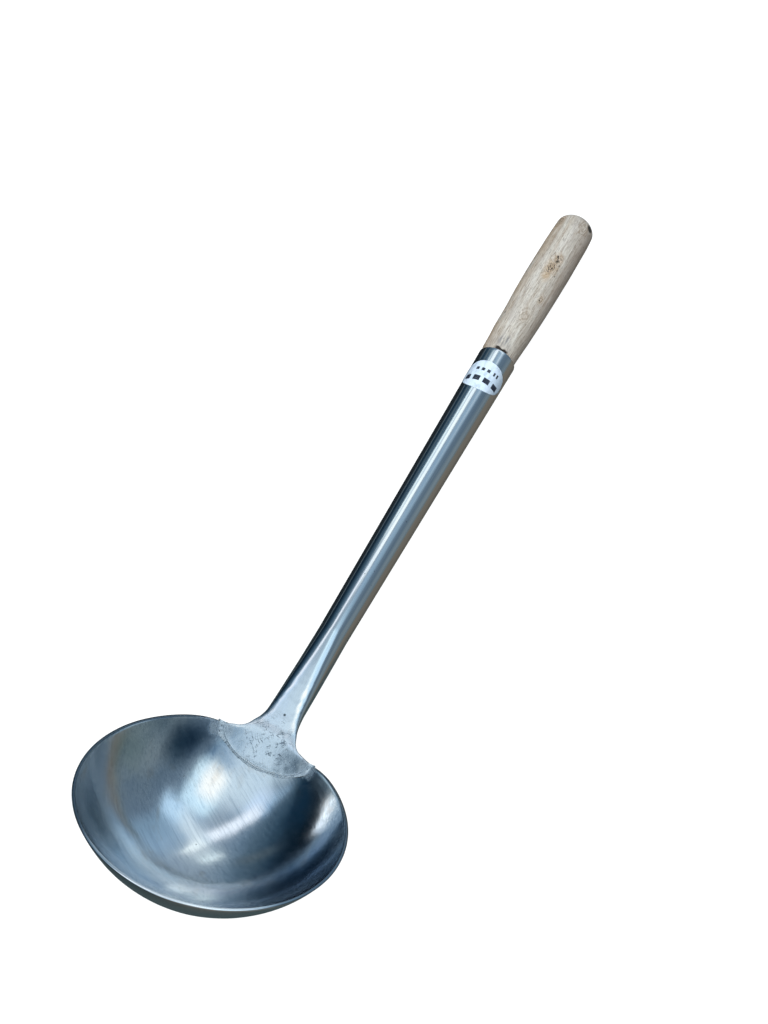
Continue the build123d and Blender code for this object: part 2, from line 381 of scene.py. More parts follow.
def build_grip():
    """Turned wood, a little uneven, dented along its grain and chipped at its end."""
    away = [row[0] * MM for row in GRIP_SHAPE]
    left = [row[1] * MM for row in GRIP_SHAPE]
    right = [row[2] * MM for row in GRIP_SHAPE]
    dome = grip_end - mouth - GRIP_BODY
    rows, places = [], []
    for i in range(GRIP_ALONG + DOME_RINGS):
        if i < GRIP_ALONG:
            station = away[0] + (GRIP_BODY - away[0]) * i / GRIP_ALONG
            shrink = 1.0
        else:
            turn = pi / 2 * (i - GRIP_ALONG) / (DOME_RINGS - 0.5)
            station = GRIP_BODY + dome * sin(turn) ** 1.1
            shrink = cos(turn) ** 0.75
        size_left, size_right = through(away, left, station), through(away, right, station)
        row = []
        for j in range(GRIP_AROUND):
            turn = 2 * pi * j / GRIP_AROUND
            side = 0.5 + 0.5 * sin(turn)
            radius = (size_right + (size_left - size_right) * side) * shrink
            spot = Vector((station * 0.22, radius * sin(turn), radius * cos(turn)))
            grain = Vector((station * 0.06, radius * sin(turn), radius * cos(turn)))
            radius -= 0.10 * MM * abs(ripple(spot, 7 * MM, 6.0))
            radius -= 0.09 * MM * abs(ripple(grain, 1.1 * MM, 7.0))
            notch = exp(-(((degrees(turn) + 180) % 360 - 180 + NOTCH_TURN) / NOTCH_SPREAD) ** 2)
            depth = 1.0 + 1.2 * ripple((radius * turn, 0, 0), 1.3 * MM, 9.0)
            radius -= NOTCH_DEPTH * notch * max(depth, 0.2) * smooth(3.0 * MM, 1.4 * MM, station)
            place = ring_point(mouth + station, radius, turn)
            for knot, size, depth in DENTS:
                off = (place - knot).length / size
                radius -= depth * exp(-off * off)
            radius = max(radius, 0.05 * MM)
            row.append(ring_point(mouth + station, radius, turn))
        rows.append(row)
        places.append(mouth + station)
    girth = 2 * pi * axis_z

    def surface(i, j):
        return (girth * j / GRIP_AROUND, places[i])

    return grid_piece("ladle_grip", rows, True, True, True, surface)


def on_grip(station, turn, radius):
    """A point on the grip, at an angle in degrees from its top towards +Y."""
    return ring_point(station * MM, radius * MM, radians(turn))


KNOTS = [                       # place, size, cracks at its heart, ochre halo, rings
    (on_grip(324.5, -10, 12.1), 3.4 * MM, 1.0, 0.9, 0.6),
    (on_grip(332.5, -15, 12.1), 2.6 * MM, 1.0, 0.8, 0.4),
    (on_grip(318.5, -10, 12.1), 2.4 * MM, 0.0, 0.9, 0.0),
    (on_grip(302.0, -32, 11.9), 1.7 * MM, 0.9, 0.5, 0.2),
    (on_grip(287.0, -17, 11.4), 3.4 * MM, 0.0, 0.15, 0.8),
    (on_grip(362.0, 47, 11.6), 3.2 * MM, 0.6, 0.6, 1.0),
    (on_grip(362.0, -33, 11.8), 3.2 * MM, 0.0, 0.1, 1.0),
]
CHIP = on_grip(366.5, -57, 11.7)
CHIP_SIZE = 2.3 * MM
MARKS = [                       # dark holes in and beside the knots: place and size
    (on_grip(333.8, -12, 12.1), 0.75 * MM),
    (on_grip(331.0, -17, 12.1), 0.5 * MM),
    (on_grip(325.4, -6, 12.1), 0.5 * MM),
    (on_grip(328.5, -28, 12.1), 0.35 * MM),
    (on_grip(325.0, -30, 12.1), 0.35 * MM),
    (on_grip(320.5, -32, 12.1), 0.5 * MM),
    (on_grip(302.5, -31, 11.9), 0.5 * MM),
    (on_grip(286.0, 48, 11.3), 0.6 * MM),
]
DENTS = [(knot[0], knot[1] * 0.6, 0.22 * MM) for knot in KNOTS] + [(CHIP, CHIP_SIZE, 1.0 * MM)]

# ---- welds -------------------------------------------------------
BEAD_ALONG = 260
BEAD_ACROSS = 15
END_SINK = 1.1                  # mm by which the edges of the bead's two ends go down into the rim


def build_neck_weld():
    """The weld round the tongue: a ragged ridge in the middle, ground down broad and rough at its ends."""
    rows = []
    for i in range(BEAD_ALONG + 1):
        turn = pi * i / BEAD_ALONG
        share = sin(turn)
        edge_down = -SHOULDER + (TONGUE_DEPTH + SHOULDER) * share
        edge_across = TONGUE_HALF_WIDTH * cos(turn)
        out = Vector((share / (TONGUE_DEPTH + SHOULDER), cos(turn) / TONGUE_HALF_WIDTH)).normalized()
        ground = smooth(0.75, 0.25, share) * (1.0 if edge_across > 0 else 0.55)
        spot = wall_point(edge_down, edge_across, 0.0)
        rough = ripple(spot, 1.7 * MM, 11.0)
        half_width = (0.95 + 1.5 * ground + 0.3 * rough + 0.25 * ripple(spot, 5 * MM, 12.0)) * MM
        height = (0.55 + 0.28 * rough - 0.15 * ground) * MM
        gap = exp(-(((edge_across + 5 * MM) / (3 * MM)) ** 2))
        height *= 1 - 0.75 * gap
        row = []
        for j in range(BEAD_ACROSS):
            offset = -1 + 2 * j / (BEAD_ACROSS - 1)
            bulge = cos(offset * pi / 2) ** 1.3 if abs(offset) < 1 else 0.0
            down = edge_down + out.x * (offset * half_width + 0.3 * half_width)
            across = edge_across + out.y * (offset * half_width + 0.3 * half_width)
            place = wall_point(down, across, 0.0)
            sink = (0.12 + END_SINK * smooth(0.45, 0.15, share) * offset ** 4) * MM
            lift = height * bulge * (1 + 0.35 * ripple(place, 0.8 * MM, 13.0)) - sink
            inside = smooth(0.1, -0.8, offset) * TONGUE_THICKNESS * 0.85
            row.append(wall_point(down, across, lift + inside))
        rows.append(row)
    return grid_piece("ladle_neck_weld", rows)


RIM_WELD_RADIUS = 1.6 * MM
RIM_WELD_DEPTH = 2.0 * MM
RIM_WELD_HALF_ANGLE = 11.5


def build_rim_weld():
    """A lumpy fillet between the neck's underside and the outside of the rim."""
    rows = []
    count, sides = 90, 20
    for i in range(count + 1):
        turn = radians(RIM_WELD_HALF_ANGLE) * (2 * i / count - 1)
        outward = along_rim * cos(turn) + Vector((0, 1, 0)) * sin(turn)
        reach = sqrt(sphere_radius**2 - (rim_drop + RIM_WELD_DEPTH) ** 2)
        middle = sphere_centre + outward * reach - bowl_up * (rim_drop + RIM_WELD_DEPTH)
        taper = sqrt(max(1 - (2 * i / count - 1) ** 4, 0.02))
        row = []
        for j in range(sides):
            way = 2 * pi * j / sides
            beads = 0.06 * abs(sin(turn * reach / (1.1 * MM)))
            radius = RIM_WELD_RADIUS * taper * (0.9 - beads + 0.06 * ripple(middle, 1.5 * MM, way))
            row.append(middle + outward * radius * cos(way) + bowl_up * radius * sin(way))
        rows.append(row)
    return grid_piece("ladle_rim_weld", rows, True, True, True)


# ---- label -------------------------------------------------------
LABEL_LIFT = 0.14 * MM
LABEL_TURN = 80                 # degrees round the shank, either way from the top
CREASE_HEIGHT = 0.045 * MM
PRINT_LIFT = 0.03 * MM          # the print over the film
label_middle = (label_low.x + label_high.x) / 2 - rim_x
label_half = (label_high.x - label_low.x) / 2


def on_label(along, around, lift):
    """A point over the shank: along and around the label from its middle, each -1 to 1 at its edges."""
    station = label_middle + along * label_half
    return ring_point(station, shank_shape(station)[0] + lift, radians(around * LABEL_TURN))


def crease(along, around):
    """How far a crease lifts the film at a place on the label."""
    flat = Vector((along * label_half, around * MOUTH_RADIUS * radians(LABEL_TURN), 0))
    return CREASE_HEIGHT * max(0.0, ripple(flat, 3.2 * MM, 21.0))


def build_label():
    """An oval film, slightly wrinkled, whose edge is pressed down onto the steel."""
    rings, around = 44, 200
    rows = []
    for i in range(rings + 1):
        reach = (0.02 + 0.98 * min(i, rings - 1) / (rings - 1)) * 0.985
        lift = LABEL_LIFT if i < rings else 0.01 * MM
        row = []
        for j in range(around):
            turn = 2 * pi * j / around
            along, across = reach * cos(turn), reach * sin(turn)
            raised = crease(along, across) if i < rings else 0.0
            ragged = 1 + 0.012 * ripple((cos(turn) * 3, sin(turn) * 3, 0), 0.4, 22.0) * (i / rings)
            row.append(on_label(along * ragged, across * ragged, lift + raised))
        rows.append(row)
    return grid_piece("ladle_label", rows, True, True, False)


# Stand-ins for the printing: plain bars, each (along middle, around middle, half length, half width)
LABEL_BARS = [
    (-0.30, -0.62, 0.17, 0.13),
    (-0.30, -0.22, 0.17, 0.13),
    (-0.30, 0.18, 0.17, 0.13),
    (-0.30, 0.56, 0.17, 0.11),
    (0.36, -0.50, 0.12, 0.035),
    (0.36, -0.36, 0.12, 0.035),
    (0.36, -0.12, 0.10, 0.06),
    (0.36, 0.10, 0.10, 0.06),
    (0.36, 0.32, 0.10, 0.06),
]


def build_label_bars():
    """Printed bars: thin curved plates that follow the film."""
    points, faces = [], []
    steps = 10
    for along, around, half_long, half_wide in LABEL_BARS:
        first = len(points)
        for i in range(steps + 1):
            for j in range(steps + 1):
                u = along + half_long * (2 * i / steps - 1)
                v = around + half_wide * (2 * j / steps - 1)
                points.append(tuple(on_label(u, v, LABEL_LIFT + crease(u, v) + PRINT_LIFT)))
        for i in range(steps):
            for j in range(steps):
                a = first + i * (steps + 1) + j
                faces.append((a, a + steps + 1, a + steps + 2, a + 1))
    mesh = bpy.data.meshes.new("ladle_label_bars")
    mesh.from_pydata(points, [], faces)
    mesh.shade_smooth()
    return linked("ladle_label_bars", mesh)


# ---- node helpers ------------------------------------------------
def seen(red, green, blue, through=1.0):
    """A colour on a picture's 0-255 scale, as linear light, divided by a reflectance."""
    out = []
    for value in (red, green, blue):
        v = value / 255
        out.append((v / 12.92 if v <= 0.04045 else ((v + 0.055) / 1.055) ** 2.4) / through)
    return tuple(out)


class Nodes:
    """Short ways to add nodes to one tree. Inputs take a socket, a number or a colour."""

    def __init__(self, tree):
        self.tree = tree

    def feed(self, socket, value):
        if isinstance(value, bpy.types.NodeSocket):
            self.tree.links.new(value, socket)
        elif socket.type == "RGBA":
            value = tuple(value) if hasattr(value, "__len__") else (value,) * 3
            socket.default_value = (*value[:3], 1)
        else:
            socket.default_value = value

    def node(self, kind, inputs=(), **settings):
        made = self.tree.nodes.new("ShaderNode" + kind)
        for key, value in settings.items():
            setattr(made, key, value)
        for key, value in dict(inputs).items():
            self.feed(made.inputs[key], value)
        return made

    def math(self, operation, first, second=0.0, third=0.0):
        made = self.node("Math", {0: first, 1: second, 2: third}, operation=operation)
        return made.outputs[0]

    def times(self, first, second):
        return self.math("MULTIPLY", first, second)

    def scaled(self, value, by, plus):
        return self.math("MULTIPLY_ADD", value, by, plus)

    def step(self, value, low, high, first=0.0, last=1.0):
        """A smooth change from first to last as the value goes from low to high."""
        if low > high:
            low, high, first, last = high, low, last, first
        inputs = {"Value": value, "From Min": low, "From Max": high, "To Min": first, "To Max": last}
        return self.node("MapRange", inputs, interpolation_type="SMOOTHSTEP").outputs[0]

    def vector(self, operation, first, second=(0, 0, 0)):
        if not isinstance(second, bpy.types.NodeSocket):
            second = tuple(second)
        made = self.node("VectorMath", {0: first, 1: second}, operation=operation)
        return made.outputs["Value" if operation in ("DOT_PRODUCT", "DISTANCE", "LENGTH") else "Vector"]

    def near(self, vector, place):
        return self.vector("DISTANCE", vector, place)

    def part(self, vector, axis):
        """One of a vector's three numbers: 0, 1 or 2."""
        return self.node("SeparateXYZ", {0: vector}).outputs[axis]

    def ramp(self, factor, stops):
        made = self.node("ValToRGB", {"Fac": factor})
        elements = made.color_ramp.elements
        while len(elements) < len(stops):
            elements.new(0.5)
        for element, (place, colour) in zip(elements, stops):
            element.position = place
            element.color = (*colour, 1)
        return made.outputs["Color"]

    def mix(self, factor, first, second, blend="MIX"):
        made = self.node("Mix", {0: factor, 6: first, 7: second}, data_type="RGBA", blend_type=blend)
        return made.outputs[2]

    def noise(self, vector, scale=1.0, detail=3.0, roughness=0.5, distortion=0.0):
        inputs = {"Vector": vector, "Scale": scale, "Detail": detail, "Roughness": roughness,
                  "Distortion": distortion}
        return self.node("TexNoise", inputs).outputs["Fac"]

    def cells(self, vector, scale=1.0):
        return self.node("TexVoronoi", {"Vector": vector, "Scale": scale}).outputs["Distance"]

    def sized(self, vector, sizes, turn=0.0, start=(0, 0, 0)):
        """Coordinates in units of the given sizes in mm, after a turn about Z in degrees."""
        inputs = {"Vector": vector, "Location": start, "Rotation": (0, 0, radians(turn)),
                  "Scale": tuple(s * MM for s in sizes)}
        return self.node("Mapping", inputs, vector_type="TEXTURE").outputs[0]


class Look(Nodes):
    """A material with one principled shader."""

    def __init__(self, name, **constants):
        self.material = bpy.data.materials.new(name)
        self.material.use_nodes = True
        super().__init__(self.material.node_tree)
        self.end = self.tree.nodes["Principled BSDF"]
        for socket, value in constants.items():
            self.feed(self.end.inputs[socket.replace("_", " ")], value)
        self.place = self.node("TexCoord").outputs["Object"]

    def drive(self, socket, value):
        self.feed(self.end.inputs[socket], value)

    def grain(self, sizes, turn=0.0, start=(0, 0, 0), **kind):
        """Noise stretched to the given sizes in mm."""
        return self.noise(self.sized(self.place, sizes, turn, start), **kind)

    def spots(self, spacing, patch, inner, outer, chosen):
        """Small scattered pits, spacing apart, only where noise of the patch's size is over a level."""
        pits = self.step(self.cells(self.place, 1 / spacing), inner, outer)
        keep = self.step(self.noise(self.place, 1 / patch, 1.0), *chosen)
        return self.times(pits, keep)

    def bump(self, heights):
        """Stacked bumps, coarsest first: (height, strength, distance in mm)."""
        normal = None
        for height, strength, distance in heights:
            inputs = {"Height": height, "Strength": strength, "Distance": distance * MM}
            if normal is not None:
                inputs["Normal"] = normal
            normal = self.node("Bump", inputs).outputs["Normal"]
        self.drive("Normal", normal)


# ---- materials ---------------------------------------------------
STEEL = 0.80                    # how much light the plain steel sends back
BRUSH_TURN = 58                 # degrees from +X, of the brushing across the bowl
LEFT_GROUND = wall_point(6 * MM, 25 * MM, 0)
RIGHT_GROUND = wall_point(6 * MM, -24 * MM, 0)
FAN_MIDDLE = wall_point(4 * MM, 1.5 * MM, 0)
FAN_PIT = Vector((rim_x + 10.9 * MM, -0.4 * MM, 0))     # seen from above
# Painted dark reflections: darker patches on the wall's colour, set to bring its brightness near the real
# bowl's as the camera sees it: down, across and size in mm, colour
PAINTED_DARK_REFLECTIONS = [
    (70, -52, 26, (0.17, 0.26, 0.36)),
    (80, -45, 15, (0.42, 0.48, 0.54)),
    (82, -76, 11, (0.45, 0.52, 0.58)),
    (5, -30, 6, (0.16, 0.25, 0.34)),
    (20, 22, 6, (0.32, 0.42, 0.54)),
    (19, 35, 9, (0.34, 0.44, 0.54)),
    (17, 52, 10, (0.50, 0.58, 0.64)),
    (112, 50, 15, (0.42, 0.47, 0.48)),
    (46, 62, 12, (0.78, 0.82, 0.76)),
]
LIP_HIGHLIGHT_TURN = radians(180 + 8)   # round the rim from the handle, the middle of the lip's painted highlight
LIP_HEIGHT = 0.25 * MM
HIGHLIGHT_FROM, HIGHLIGHT_TO = 0.62, 0.86         # shares of the rim's radius between which the lip's painted dark reflection turns to painted highlight


def bowl_look():
    """Pressed steel, brushed across, with a few pits and stains, painted dark reflections on the wall, and a
    lip of painted dark reflection with a painted highlight on one side.
    """
    look = Look("bowl_steel", Metallic=1.0, Anisotropic=0.45)
    hair = look.grain((70, 1.1, 1.1), BRUSH_TURN, detail=3.0, roughness=0.7)
    wide = look.grain((90, 2.2, 2.2), BRUSH_TURN, detail=2.0)
    cloud = look.noise(look.place, 1 / (22 * MM), 4.0, 0.55)
    stain = look.grain((16, 9, 9), 20, detail=3.0, distortion=0.6)
    grit = look.noise(look.place, 1 / (0.35 * MM), 2.0)
    colour = look.mix(look.step(cloud, 0.35, 0.65), (0.74, 0.79, 0.84), (0.84, 0.86, 0.87))
    colour = look.mix(look.step(stain, 0.60, 0.78, 0.0, 0.55), colour, (0.60, 0.55, 0.50))
    colour = look.mix(look.step(hair, 0.50, 0.66, 0.0, 0.42), colour, (0.46, 0.52, 0.58))
    colour = look.mix(look.step(hair, 0.46, 0.32, 0.0, 0.42), colour, (0.97, 0.98, 1.0))
    pits = look.spots(8 * MM, 14 * MM, 0.05, 0.035, (0.53, 0.58))
    colour = look.mix(look.times(pits, 0.75), colour, (0.10, 0.12, 0.14))
    ground = ground_zone(look)
    colour = look.mix(look.times(ground, look.step(grit, 0.5, 0.66, 0.0, 0.75)), colour,
                      (0.22, 0.26, 0.30))
    # painted dark reflections: the wall's colour darkened in patches
    for down, across, size, dark in PAINTED_DARK_REFLECTIONS:
        place = wall_point(down * MM, across * MM, 0)
        reach = look.scaled(stain, 14 * MM, look.near(look.place, place))
        painted_dark_reflection = look.step(reach, (size * 1.8 + 5) * MM, size * MM * 0.4)
        colour = look.mix(painted_dark_reflection, colour, dark, "MULTIPLY")
    rim_height = sphere_centre.dot(bowl_up) - rim_drop
    above = look.vector("DOT_PRODUCT", look.place, bowl_up)
    lip = look.step(above, rim_height - LIP_HEIGHT, rim_height)
    # the lip's colour: painted dark reflection, turning to a painted highlight on one side
    highlight_way = along_rim * cos(LIP_HIGHLIGHT_TURN) + Vector((0, 1, 0)) * sin(LIP_HIGHLIGHT_TURN)
    middle = (sphere_centre - bowl_up * rim_drop).dot(highlight_way)
    worn = look.vector("DOT_PRODUCT", look.place, highlight_way)
    worn = look.step(worn, middle + HIGHLIGHT_FROM * RIM_RADIUS, middle + HIGHLIGHT_TO * RIM_RADIUS)
    lip_painted_reflection = look.mix(worn, (0.24, 0.29, 0.33), (0.99, 0.995, 1.0))
    colour = look.mix(lip, colour, lip_painted_reflection)
    look.drive("Base Color", colour)
    rough = look.scaled(wide, 0.08, 0.095)
    rough = look.scaled(look.step(cloud, 0.3, 0.7), 0.05, rough)
    rough = look.scaled(ground, 0.18, rough)
    look.drive("Roughness", rough)
    across = radians(BRUSH_TURN + 90)
    tangent = look.node("CombineXYZ", {0: cos(across), 1: sin(across), 2: 0.0}).outputs[0]
    look.drive("Tangent", tangent)
    look.bump([
        (cloud, 0.5, 0.10),
        (look.times(ground, grit), 0.9, 0.25),
        (hair, 0.5, 0.035),
        (look.math("SUBTRACT", 1.0, pits), 0.6, 0.06),
    ])
    return look.material


def ground_zone(look):
    """1 on the rough ground metal where the tongue's two ends meet the rim, fading to 0 around it."""
    wander = look.noise(look.place, 1 / (3 * MM), 3.0)
    left = look.scaled(wander, 6 * MM, look.near(look.place, LEFT_GROUND))
    right = look.scaled(wander, 5 * MM, look.near(look.place, RIGHT_GROUND))
    left = look.step(left, 11 * MM, 6 * MM)
    right = look.step(right, 9 * MM, 5 * MM)
    return look.math("MAXIMUM", left, right)


def shank_look():
    """Rolled steel: smooth and bright along the tube, hammered, scratched and pitted on the fan."""
    look = Look("shank_steel", Metallic=1.0, Anisotropic=0.25)
    fan = look.step(look.part(look.place, 0), rim_x + 22 * MM, rim_x + 2 * MM)
    lines = look.grain((120, 0.5, 0.5), detail=3.0, roughness=0.6)
    cloud = look.grain((60, 6, 6), detail=4.0)
    grit = look.noise(look.place, 1 / (0.4 * MM), 2.0)
    lumps = look.noise(look.place, 1 / (2.6 * MM), 3.0, 0.6)
    colour = look.mix(look.step(cloud, 0.35, 0.68), (0.76, 0.80, 0.84), (0.85, 0.87, 0.88))
    colour = look.mix(look.step(lines, 0.48, 0.75, 0.0, 0.28), colour, (0.58, 0.60, 0.62))
    scratch = 0.0
    for turn, seed in ((37, 1.0), (-52, 2.0), (82, 3.0)):
        scratch = look.math("MAXIMUM", scratch, scratches(look, turn, seed))
    worked = look.step(look.near(look.place, FAN_MIDDLE), 17 * MM, 7 * MM, 0.15, 1.0)
    scratch = look.times(look.times(scratch, fan), worked)
    colour = look.mix(look.times(fan, 0.5), colour, (0.90, 0.93, 0.96))
    colour = look.mix(look.times(scratch, 0.9), colour, (0.07, 0.10, 0.13))
    ground = ground_zone(look)
    colour = look.mix(look.times(ground, look.step(grit, 0.5, 0.66, 0.0, 0.7)), colour,
                      (0.24, 0.28, 0.32))
    pits = look.spots(5 * MM, 9 * MM, 0.06, 0.04, (0.52, 0.58))
    plan = look.vector("MULTIPLY", look.place, (1, 1, 0))
    pits = look.math("MAXIMUM", pits, look.step(look.near(plan, FAN_PIT), 0.9 * MM, 0.4 * MM))
    colour = look.mix(look.times(pits, 0.9), colour, (0.06, 0.07, 0.08))
    look.drive("Base Color", colour)
    rough = look.scaled(lines, 0.06, 0.10)
    rough = look.scaled(fan, 0.14, rough)
    rough = look.scaled(ground, 0.15, rough)
    look.drive("Roughness", rough)
    look.drive("Tangent", look.node("CombineXYZ", {0: 0.0, 1: 1.0, 2: 0.0}).outputs[0])
    look.bump([
        (cloud, 0.4, 0.06),
        (look.times(lumps, fan), 0.6, 0.12),
        (look.times(ground, grit), 0.9, 0.22),
        (lines, 0.3, 0.008),
        (look.math("SUBTRACT", 1.0, scratch), 0.5, 0.05),
    ])
    return look.material


def scratches(look, turn, seed):
    """Thin broken scratches that run at an angle in degrees from +X."""
    spread = look.sized(look.place, (16, 1.3, 30), turn, (seed * 0.013, seed * 0.007, 0))
    wave = look.noise(spread, detail=1.0, roughness=0.3)
    line = look.step(look.math("ABSOLUTE", look.math("SUBTRACT", wave, 0.5)), 0.016, 0.004)
    broken = look.noise(look.place, 1 / (3.5 * MM), 1.0, 0.5)
    return look.times(line, look.step(broken, 0.47, 0.54))


def weld_look():
    """Weld metal: bright and lumpy, with soot in its hollows."""
    look = Look("weld_steel", Metallic=1.0)
    lumps = look.noise(look.place, 1 / (0.9 * MM), 3.0, 0.6)
    burnt = look.noise(look.place, 1 / (4 * MM), 2.0)
    colour = look.mix(look.step(burnt, 0.52, 0.74), (0.99, 1.0, 1.0), (0.78, 0.82, 0.86))
    soot = look.grain((0.7, 0.7, 0.7), start=(0.01, 0.02, 0), detail=2.0)
    soot = look.step(soot, 0.40, 0.34, 0.0, 0.8)
    colour = look.mix(soot, colour, (0.07, 0.10, 0.13))
    look.drive("Base Color", colour)
    look.drive("Roughness", look.scaled(lumps, 0.25, 0.36))
    look.bump([(lumps, 0.9, 0.16), (look.noise(look.place, 1 / (0.3 * MM), 2.0), 0.5, 0.04)])
    return look.material


WOOD = 0.85                     # the wood's colours as seen, divided by how much light reaches them
KNOT_STRETCH = (0.62, 1.0, 1.0)         # knots and marks are longer along the grain
MARK_STRETCH = Vector((0.55, 1.0, 1.0))
STAIN = on_grip(265.5, -2, 10.4)


def knot_parts(look, wander):
    """Cracks, ochre halo, rings and how far the grain is pushed aside, round all the knots."""
    cracks, halo, rings, push = 0.0, 0.0, 0.0, 0.0
    for place, size, cracked, ochre, ringed in KNOTS:
        apart = look.vector("MULTIPLY", look.vector("SUBTRACT", look.place, place), KNOT_STRETCH)
        off = look.math("DIVIDE", look.vector("LENGTH", apart), size)
        off = look.math("ADD", off, look.scaled(wander, 0.9, -0.45))
        area = look.step(off, 1.7, 0.3)
        push = look.math("ADD", push, area)
        halo = look.math("MAXIMUM", halo, look.times(area, ochre))
        wave = look.step(look.math("SINE", look.times(off, 15.0)), -0.2, 0.9)
        near = look.times(look.step(off, 1.5, 0.8), look.step(off, 0.1, 0.4))
        ring = look.times(look.times(wave, near), ringed)
        rings = look.math("MAXIMUM", rings, ring)
        cracks = look.math("MAXIMUM", cracks, look.times(look.step(off, 0.9, 0.5), cracked))
    return cracks, halo, rings, push


def wood_look():
    """Pale weathered wood: lengthwise grain that bends round knots, soft stains, open pores, and painted
    shade along its -Y side.
    """
    look = Look("grip_wood", IOR=1.45)
    wander = look.noise(look.place, 1 / (2.2 * MM), 2.0)
    cracks, halo, rings, push = knot_parts(look, wander)
    bent = look.node("CombineXYZ", {0: 0.0, 1: look.times(push, 2.0 * MM), 2: 0.0}).outputs[0]
    around = look.vector("ADD", look.place, bent)
    bands = look.noise(look.sized(around, (40, 2.4, 2.4)), detail=3.0, roughness=0.6, distortion=0.4)
    fibres = look.noise(look.sized(around, (4, 0.55, 0.55)), detail=4.0, roughness=0.75)
    threads = look.sized(around, (22, 0.8, 0.8), start=(0.07, 0.01, 0))
    threads = look.noise(threads, detail=3.0, roughness=0.7)
    pores = look.noise(look.sized(around, (3.2, 0.34, 0.34), start=(0.02, 0, 0)), detail=2.0)
    soil = look.grain((20, 7, 7), detail=3.0, roughness=0.6)
    split = look.grain((1.6, 0.5, 0.5), 35, detail=2.0)
    along, across = look.part(look.place, 0), look.part(look.place, 1)
    left_side = look.step(across, 4.5 * MM, 11.5 * MM, 0.0, 0.6)
    left_side = look.times(left_side, look.step(soil, 0.3, 0.5))
    colour = look.ramp(bands, [
        (0.25, seen(176, 161, 143, WOOD)),
        (0.42, seen(189, 179, 165, WOOD)),
        (0.55, seen(198, 190, 178, WOOD)),
        (0.75, seen(204, 197, 187, WOOD)),
    ])
    for amount, tone in (
        (look.step(threads, 0.52, 0.34, 0.0, 0.6), (142, 122, 104)),
        (look.step(threads, 0.56, 0.72, 0.0, 0.5), (222, 214, 202)),
        (look.step(fibres, 0.50, 0.30, 0.0, 0.85), (112, 92, 76)),
        (look.step(fibres, 0.54, 0.70, 0.0, 0.6), (226, 220, 210)),
        (look.step(soil, 0.50, 0.70, 0.0, 0.4), (160, 148, 138)),
        (left_side, (184, 152, 116)),
        # painted shade: the grip's -Y side darker, away from the lamp
        (look.step(across, -5 * MM, -11.5 * MM, 0.0, 0.45), (150, 124, 106)),
        (look.step(pores, 0.33, 0.25, 0.0, 0.85), (86, 66, 50)),
        (look.times(halo, 0.42), (190, 148, 92)),
        (look.times(rings, 0.45), (112, 88, 66)),
        (look.times(cracks, look.step(split, 0.50, 0.57)), (40, 28, 20)),
    ):
        colour = look.mix(amount, colour, seen(*tone, WOOD))
    stretched = look.vector("MULTIPLY", look.place, MARK_STRETCH)
    for place, size in MARKS:
        reach = look.scaled(wander, 0.9 * MM, look.near(stretched, place * MARK_STRETCH))
        mark = look.step(reach, size + 0.6 * MM, size * 0.4 + 0.3 * MM, 0.0, 0.9)
        colour = look.mix(mark, colour, seen(48, 34, 26, WOOD))
    stain = look.step(look.near(look.place, STAIN), 6.0 * MM, 1.5 * MM, 0.0, 0.6)
    from_mouth = look.scaled(wander, 2.4 * MM, look.math("SUBTRACT", along, shank_high.x))
    grime = look.step(from_mouth, 2.6 * MM, 1.4 * MM, 0.0, 0.5)
    beside = look.step(look.math("ABSOLUTE", look.math("ADD", across, 1.2 * MM)), 4.4 * MM, 3.0 * MM)
    broken = look.times(look.step(from_mouth, 4.0 * MM, 3.2 * MM), beside)
    for amount, tone in (
        (look.times(stain, look.step(threads, 0.6, 0.4)), (104, 106, 112)),
        (look.step(look.near(look.place, CHIP), CHIP_SIZE * 1.3, CHIP_SIZE * 0.9), (62, 56, 50)),
        (look.math("MAXIMUM", grime, broken), (42, 34, 28)),
    ):
        colour = look.mix(amount, colour, seen(*tone, WOOD))
    look.drive("Base Color", colour)
    look.drive("Roughness", look.scaled(fibres, 0.25, 0.52))
    look.bump([
        (bands, 0.5, 0.20),
        (look.math("SUBTRACT", 1.0, cracks), 0.4, 0.20),
        (threads, 0.6, 0.10),
        (fibres, 0.7, 0.10),
        (look.step(pores, 0.24, 0.36), 0.6, 0.08),
    ])
    return look.material


FILM = 0.9                      # the same for the label's film


def film_look():
    """A glossy pale film with rubbed, slightly grey patches, and painted shade on its -Y side."""
    look = Look("label_film", IOR=1.5)
    worn = look.grain((5, 3, 3), detail=4.0, roughness=0.6)
    specks = look.noise(look.place, 1 / (0.5 * MM), 2.0)
    colour = seen(222, 235, 248, FILM)
    for amount, tone in (
        (look.step(worn, 0.45, 0.72, 0.0, 0.7), (170, 186, 200)),
        # painted shade: the film greyer towards its -Y side
        (look.step(look.part(look.place, 1), -3 * MM, -10 * MM, 0.0, 0.6), (165, 180, 192)),
        (look.step(specks, 0.66, 0.74, 0.0, 0.5), (120, 130, 140)),
    ):
        colour = look.mix(amount, colour, seen(*tone, FILM))
    look.drive("Base Color", colour)
    look.drive("Roughness", look.scaled(worn, 0.2, 0.22))
    look.bump([(worn, 0.5, 0.05), (specks, 0.3, 0.01)])
    return look.material


def ink_look():
    """Dark blue-black print, thin in places."""
    look = Look("label_ink", IOR=1.5)
    thin = look.noise(look.place, 1 / (0.5 * MM), 3.0)
    faded = look.step(thin, 0.5, 0.75, 0.0, 0.6)
    look.drive("Base Color", look.mix(faded, seen(30, 34, 48), seen(110, 122, 140)))
    look.drive("Roughness", look.scaled(thin, 0.2, 0.35))
    look.bump([(thin, 0.3, 0.01)])
    return look.material


